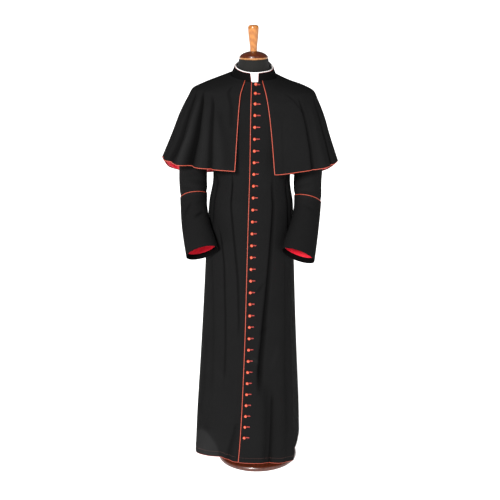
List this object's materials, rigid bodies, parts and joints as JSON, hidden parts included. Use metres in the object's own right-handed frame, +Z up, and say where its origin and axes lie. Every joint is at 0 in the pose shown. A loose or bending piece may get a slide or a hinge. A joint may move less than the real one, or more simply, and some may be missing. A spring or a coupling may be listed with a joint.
{
  "type": "cassock on a dress form",
  "caption": "Black ankle-length cassock with an elbow cape, red cord trim and a row of covered buttons, on a limbless dress form with a round base",
  "frame": {"origin": "centre of the base's flat underside, on the floor", "axes": "+Z is up, the garment faces -Y and the wearer's left is +X"},
  "size_m": [0.6549, 0.4313, 1.6935],
  "materials": {
    "black_wool": "matt black worsted wool",
    "red_cord": "satin-covered piping cord",
    "red_lining": "bright red satin lining",
    "button_cloth": "cloth-covered ball buttons with thread bars",
    "white_linen": "stiff white band",
    "form_cloth": "black jersey cover",
    "dark_wood": "glossy dark red-brown varnish",
    "honey_wood": "glossy honey varnish",
    "pole_steel": "plain steel tube"
  },
  "bodies": {
    "root": {"front_left": "black_wool", "front_right": "black_wool", "back": "black_wool", "collar": "black_wool", "cape": "black_wool", "sleeve_left": "black_wool", "sleeve_right": "black_wool", "cuff_left": "black_wool", "cuff_right": "black_wool", "front_piping": "red_cord", "hem_piping": "red_cord", "collar_piping": "red_cord", "cape_piping": "red_cord", "cuff_piping_left": "red_cord", "cuff_piping_right": "red_cord", "cape_lining": "red_lining", "cuff_lining_left": "red_lining", "cuff_lining_right": "red_lining", "collar_insert": "white_linen", "button_01": "button_cloth", "button_02": "button_cloth", "button_03": "button_cloth", "button_04": "button_cloth", "button_05": "button_cloth", "button_06": "button_cloth", "button_07": "button_cloth", "button_08": "button_cloth", "button_09": "button_cloth", "button_10": "button_cloth", "button_11": "button_cloth", "button_12": "button_cloth", "button_13": "button_cloth", "button_14": "button_cloth", "button_15": "button_cloth", "button_16": "button_cloth", "button_17": "button_cloth", "button_18": "button_cloth", "button_19": "button_cloth", "button_20": "button_cloth", "button_21": "button_cloth", "button_22": "button_cloth", "button_23": "button_cloth", "button_24": "button_cloth", "button_25": "button_cloth", "button_26": "button_cloth", "button_27": "button_cloth", "button_28": "button_cloth", "button_29": "button_cloth", "button_30": "button_cloth", "button_31": "button_cloth", "button_32": "button_cloth", "form_torso": "form_cloth", "neck_cap": "dark_wood", "finial": "honey_wood", "pole": "pole_steel", "base": "dark_wood"}
  },
  "joints": []
}
